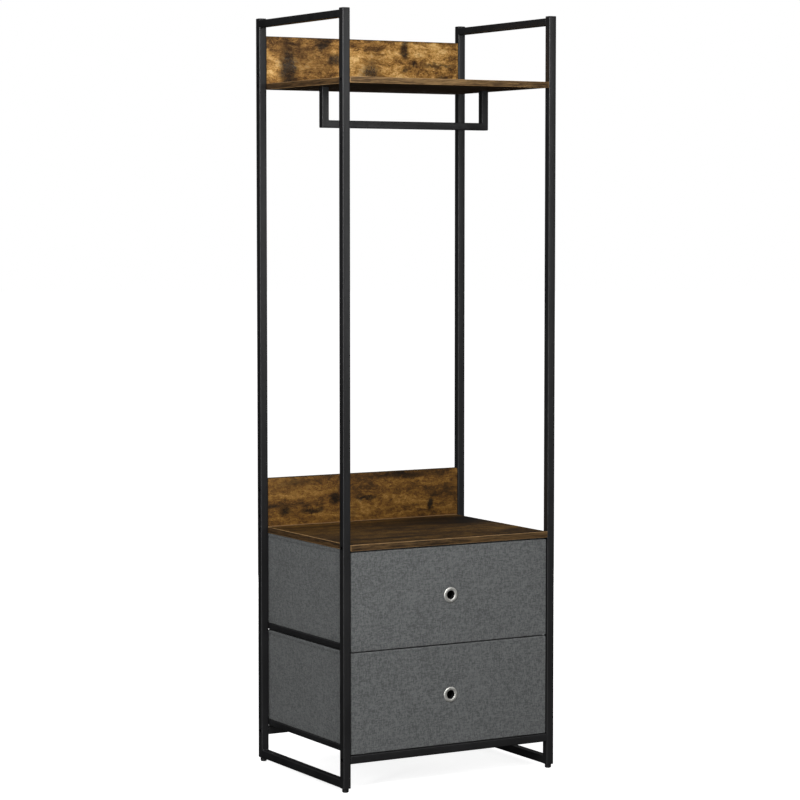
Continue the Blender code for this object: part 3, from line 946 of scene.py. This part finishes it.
def drawer_hem(level, seed):
    """The strip folded over the rim and sewn down on both sides."""
    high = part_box(f"drawer_{level}_box")[1]
    rim = high.z + RIM_RISE - FABRIC / 2
    foot = high.z + RIM_RISE - HEM_HEIGHT
    edge = foot + HEM_THICKNESS
    outer, inner = -HEM_THICKNESS, FABRIC + HEM_THICKNESS
    bite = 0.0006  # how far the strip's hidden side is inside the wall
    stations = [(bite, foot), (outer * 0.6, foot), (outer, edge)]
    stations += rim_arc(FABRIC / 2 + HEM_THICKNESS, FABRIC / 2, rim, 8)
    stations += [(inner, edge), (inner - 0.4 * HEM_THICKNESS, foot), (FABRIC - bite, foot)]
    stations += rim_arc(FABRIC / 2 - bite, FABRIC / 2, rim, 6, 180, 0)
    bm = lofted(box_rings(level, stations, seed), wrap=True)
    cloth_piece(f"drawer_{level}_hem", bm, FABRIC_HEM, level, sharp_angle=50)


def drawer_piping(level):
    """Piping in the four upright seams of the box."""
    low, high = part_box(f"drawer_{level}_box")
    turn_in = DRAWER_CORNER * (1 - math.sqrt(0.5))
    foot, length = low.z + BOX_EDGE, high.z - HEM_HEIGHT - low.z - BOX_EDGE
    count, ripple, beat = 40, 0.04, 9
    heights = [foot + length * i / count for i in range(count + 1)]
    radii = [PIPING_RADIUS * (1 + ripple * math.sin(beat * i)) for i in range(count + 1)]
    bm = bmesh.new()
    for x in (low.x + turn_in, high.x - turn_in):
        for y in (low.y + turn_in, high.y - turn_in):
            rope(bm, [Vector((x, y, height)) for height in heights], radii, sides=10)
    cloth_piece(f"drawer_{level}_piping", bm, FABRIC_HEM, level)


def stitch_row(bm, path, closed):
    """Stitches of even length along a path, each dipping into the cloth at its ends."""
    points = path + path[:1] if closed else path
    spans = [(b - a).length for a, b in zip(points, points[1:])]
    total = sum(spans)
    count = int(total / STITCH_PITCH)
    for index in range(count):
        start = (index + 0.15) * total / count
        places, radii = [], []
        for share, thickness in STITCH_PROFILE:
            places.append(along(points, spans, start + STITCH_LENGTH * share))
            radii.append(STITCH_RADIUS * thickness)
        rope(bm, places, radii, sides=6)


def along(points, spans, distance):
    """The point at this distance along a line of points."""
    for start, end, span in zip(points, points[1:], spans):
        if distance <= span:
            return start.lerp(end, distance / span)
        distance -= span
    return points[-1]


def drawer_stitching(level, seed):
    """Rows of stitches on both sides of the hem, and one along the top of the front."""
    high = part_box(f"drawer_{level}_box")[1]
    height = high.z + RIM_RISE - HEM_HEIGHT + HEM_ROW
    bm = bmesh.new()
    lift = 0.5 * STITCH_RADIUS
    for inset in (-HEM_THICKNESS - lift, FABRIC + HEM_THICKNESS + lift):
        stitch_row(bm, box_rings(level, [(inset, height)], seed)[0], closed=True)
    front_low, front_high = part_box(f"drawer_{level}_front")
    row = front_high.z - FRONT_ROW
    sides = (front_low.x + FRONT_ROW_END, front_high.x - FRONT_ROW_END)
    stitch_row(bm, [Vector((x, front_low.y - lift, row)) for x in sides], closed=False)
    cloth_piece(f"drawer_{level}_stitching", bm, THREAD, level, sharp_angle=80)


def drawer_grommet(level):
    """A rolled nickel ring on the front, and its barrel and washer through to the inside."""
    node = f"drawer_{level}_grommet"
    low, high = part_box(node)
    centre = middle(node)
    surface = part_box(f"drawer_{level}_front")[0].y
    outer = (high.x - low.x) / 2
    middle_radius, half_width = (outer + GROMMET_BORE) / 2, (outer - GROMMET_BORE) / 2
    crown = surface - low.y
    washer, thickness, bead = 0.0155, 0.001, 0.0003
    roll_steps, fullness = 16, 0.8
    profile = []
    for step in range(roll_steps + 1):
        angle = math.radians(180 - 180 * step / roll_steps)
        swell = math.sin(angle) ** fullness
        profile.append((middle_radius + half_width * math.cos(angle), surface - crown * swell))
    profile += [
        (outer - bead, surface + bead),
        (GROMMET_BARREL, surface + bead),
        (GROMMET_BARREL, high.y - thickness),
        (washer - bead, high.y - thickness),
        (washer, high.y - thickness / 2),
        (washer - bead, high.y),
        (GROMMET_BORE + bead, high.y),
        (GROMMET_BORE, high.y - bead),
    ]
    sides = 96
    rings = [lifted(circle(radius, sides), "y", centre, depth) for radius, depth in profile]
    bm = lofted(rings, wrap=True)
    # The bore's faces are painted near black: painted shade inside the finger hole.
    for face in bm.faces:
        reach = face.calc_center_median() - centre
        if math.hypot(reach.x, reach.z) < GROMMET_BORE + bead:
            face.material_index = 1
    materials = [NICKEL, BORE_SHADE]
    piece(f"{node}_ring", bm, materials, f"drawer_{level}", [node], sharp_angle=50)


def drawers():
    """All of both drawers. Their base boards are the CAD's own, with a lining."""
    for seed, level in enumerate(LEVELS):
        drawer_front(level, 11.0 + seed)
        drawer_box(level, 3.0 + seed)
        drawer_hem(level, 3.0 + seed)
        drawer_piping(level)
        drawer_stitching(level, 3.0 + seed)
        drawer_grommet(level)
        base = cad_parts[f"drawer_{level}_base"]
        base.data.materials.clear()
        base.data.materials.append(LINING)


# ---------------------------------------- studio


def studio_world():
    """Soft surrounding light, strongest from the front left and from above, and white to see."""
    world = bpy.data.worlds.new("studio")
    bpy.context.scene.world = world
    world.use_nodes = True
    nodes, links = world.node_tree.nodes, world.node_tree.links
    nodes.clear()
    direction = nodes.new("ShaderNodeTexCoord").outputs["Generated"]
    strength = None
    for towards, share in LIGHT_LOBES:
        facing = nodes.new("ShaderNodeVectorMath")
        facing.operation = "DOT_PRODUCT"
        links.new(direction, facing.inputs[0])
        facing.inputs[1].default_value = towards
        lobe = nodes.new("ShaderNodeMapRange")
        lobe.interpolation_type = "SMOOTHSTEP"
        links.new(facing.outputs["Value"], lobe.inputs["Value"])
        lobe.inputs["To Max"].default_value = share
        if strength is None:
            strength = lobe.outputs[0]
        else:
            total = nodes.new("ShaderNodeMath")
            links.new(strength, total.inputs[0])
            links.new(lobe.outputs[0], total.inputs[1])
            strength = total.outputs[0]
    soft = nodes.new("ShaderNodeBackground")
    links.new(strength, soft.inputs["Strength"])
    white = nodes.new("ShaderNodeBackground")
    white.inputs["Color"].default_value = (1, 1, 1, 1)
    seen = nodes.new("ShaderNodeLightPath").outputs["Is Camera Ray"]
    both = nodes.new("ShaderNodeMixShader")
    links.new(seen, both.inputs[0])
    links.new(soft.outputs[0], both.inputs[1])
    links.new(white.outputs[0], both.inputs[2])
    links.new(both.outputs[0], nodes.new("ShaderNodeOutputWorld").inputs["Surface"])


def softbox(name, place, aim, size, power, reflected):
    """An area light that points at its aim."""
    data = bpy.data.lights.new(name, "AREA")
    data.shape = "RECTANGLE"
    data.size, data.size_y = size
    data.energy = power
    light = bpy.data.objects.new(name, data)
    bpy.context.scene.collection.objects.link(light)
    light.location = place
    light.rotation_euler = (Vector(aim) - Vector(place)).to_track_quat("-Z", "Y").to_euler()
    light.visible_glossy = reflected


def pale_floor():
    """A round, glowing floor that takes a faint shadow but lights nothing."""
    bm = bmesh.new()
    bmesh.ops.create_circle(bm, cap_ends=True, segments=96, radius=FLOOR_RADIUS)
    mesh = bpy.data.meshes.new("floor")
    bm.to_mesh(mesh)
    bm.free()
    g = Graph("pale_floor", roughness=0.9)
    g.shader.inputs["Emission Color"].default_value = (1, 1, 1, 1)
    g.shader.inputs["Emission Strength"].default_value = FLOOR_GLOW
    g.shades(g.noise(2, 2), (0.8, 0.8, 0.8, 1), (0.84, 0.84, 0.84, 1))
    mesh.materials.append(g.material)
    floor = bpy.data.objects.new("floor", mesh)
    bpy.context.scene.collection.objects.link(floor)
    floor.visible_diffuse = False
    floor.visible_glossy = False


def camera():
    """The photograph's view of the object."""
    data = bpy.data.cameras.new("camera")
    data.sensor_width = CAMERA_SENSOR
    data.lens = CAMERA_LENS
    data.clip_end = CAMERA_CLIP
    obj = bpy.data.objects.new("camera", data)
    bpy.context.scene.collection.objects.link(obj)
    yaw, pitch = math.radians(CAMERA_YAW), math.radians(CAMERA_PITCH)
    level = math.cos(pitch)
    direction = Vector((math.sin(yaw) * level, math.cos(yaw) * level, -math.sin(pitch)))
    obj.location = Vector(CAMERA_AIM) - direction * CAMERA_DISTANCE
    obj.rotation_euler = direction.to_track_quat("-Z", "Y").to_euler()
    bpy.context.scene.camera = obj


# ---------------------------------------- assembly

POWDER_COAT = powder_coat()
PLASTIC = moulded_plastic()
ZINC = black_zinc()
NICKEL = bright_nickel()
# Painted shade for the grommets' bores, near black.
BORE_SHADE = streaked("grommet_bore_shade", srgb(18, 18, 18), srgb(34, 34, 34), (400, 400, 400))
FABRIC_FRONT = woven_fabric("fabric_front", srgb(84, 86, 86), srgb(114, 116, 116))
# The box's cloth is a darker copy of the front's fabric: painted shade on the drawers' walls.
FABRIC_SIDE_SHADED = woven_fabric("fabric_side_shaded", srgb(75, 77, 77), srgb(103, 105, 105))
FABRIC_HEM = woven_fabric("fabric_hem", srgb(73, 75, 75), srgb(101, 103, 103), 0.0009)
LINING = felted_lining()
THREAD = sewing_thread()
BAND = streaked("edge_band", srgb(34, 24, 14), srgb(106, 81, 50), (24, 300, 300))
# The top shelf's edge band is a lighter copy of the edge band: painted light on the top shelf's
# edges.
BAND_TOP_LIT = streaked("edge_band_top_lit", srgb(62, 45, 27), srgb(142, 112, 72), (24, 300, 300))
BAND_END = streaked("edge_band_end", srgb(36, 25, 15), srgb(98, 73, 44), (300, 24, 300))
# Pale lip on the boards' rounded edges and the backboards' ends: partly the lighter core of the
# banding, partly a painted highlight.
LIP_AND_HIGHLIGHT = streaked("board_lip", srgb(120, 92, 58), srgb(166, 132, 90), (30, 30, 300))
LIP_DARK = streaked("board_lip_dark", srgb(44, 32, 20), srgb(74, 55, 34), (30, 30, 300))
# The shelves' undersides: partly a dark backing sheet, partly painted shade under the shelves.
BACKING_AND_SHADE = streaked("board_backing_and_shade", srgb(42, 32, 22), srgb(62, 48, 34), (9, 120, 120))

# Wood tones, from dark to light
GOLDEN = [(34, 23, 13), (96, 66, 32), (152, 109, 54), (200, 153, 84), (236, 200, 138)]
UMBER = [(34, 24, 12), (74, 50, 22), (106, 72, 30), (134, 96, 42), (166, 126, 70)]
DEEP = [(22, 15, 7), (44, 30, 12), (68, 47, 18), (94, 68, 28), (122, 92, 42)]

# Stains: centre, half size and depth. They run right through a board's thickness.
TOP_STAINS = [
    ((-0.17, 0.2, 1.77), (0.09, 1, 0.05), 0.42),
    ((0.03, 0.2, 1.79), (0.03, 1, 0.05), 0.35),
    ((0.0, 0.2, 1.826), (0.3, 1, 0.003), 0.6),
    ((-0.218, 0.2, 1.752), (0.022, 1, 0.05), 1.0),
    ((-0.118, 0.2, 1.812), (0.02, 1, 0.012), 0.95),
    ((-0.086, 0.2, 1.774), (0.018, 1, 0.016), 0.95),
    ((0.018, 0.2, 1.736), (0.026, 1, 0.03), 0.95),
    ((0.119, 0.2, 1.806), (0.011, 1, 0.022), 0.95),
    ((0.146, 0.2, 1.768), (0.008, 1, 0.009), 1.0),
    ((0.12, 0.2, 1.756), (0.006, 1, 0.006), 0.9),
    ((0.218, 0.2, 1.768), (0.05, 1, 0.005), 0.75),
    ((0.236, 0.2, 1.726), (0.02, 1, 0.014), 0.85),
]
LOWER_STAINS = [
    ((-0.151, 0.2, 0.633), (0.028, 1, 0.007), 1.0),
    ((-0.231, 0.2, 0.634), (0.014, 1, 0.013), 0.85),
    ((-0.083, 0.2, 0.662), (0.016, 1, 0.012), 0.9),
    ((0.008, 0.2, 0.657), (0.032, 1, 0.006), 0.95),
    ((0.196, 0.2, 0.628), (0.008, 1, 0.017), 1.0),
    ((0.11, 0.2, 0.712), (0.09, 1, 0.008), 0.8),
    ((-0.2, 0.2, 0.705), (0.05, 1, 0.01), 0.6),
]
SHELF_STAINS = [
    ((0.2, 0.1, 0.6), (0.14, 0.07, 1), 1.0),
    ((-0.02, 0.02, 0.6), (0.12, 0.012, 1), 0.7),
    ((-0.1, -0.14, 0.6), (0.1, 0.01, 1), 0.7),
]

# The print is worn along the lower backboard's foot and the lower shelf's rear edge
LOWER_FOOT = [((0, 0, -1), -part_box("lower_shelf")[1].z - 0.0018)]
SHELF_REAR = [((0, 1, 0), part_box("lower_shelf")[1].y - 0.002)]
BOARD_TOP = laminate("laminate_top_backboard", GOLDEN, TOP_STAINS, (1.3, 0.0, 0.2))
BOARD_LOWER = laminate(
    "laminate_lower_backboard", UMBER, LOWER_STAINS, (4.1, 0.3, 2.2), (5, 26, 26), LOWER_FOOT
)
SHELF_LOWER = laminate(
    "laminate_lower_shelf", DEEP, SHELF_STAINS, (7.4, 1.1, 0.6), (4, 22, 22), SHELF_REAR
)
SHELF_TOP = laminate("laminate_top_shelf", UMBER, [], (2.2, 5.1, 3.3))

posts()
side_frames()
bottom_rails()
weld_fillets()
hanging_rail()
post_caps()
feet()
fasteners()
boards()
drawers()

studio_world()
for softbox_name, settings in SOFTBOXES.items():
    softbox(softbox_name, *settings)
pale_floor()
camera()
bpy.context.scene.view_settings.view_transform = "Standard"
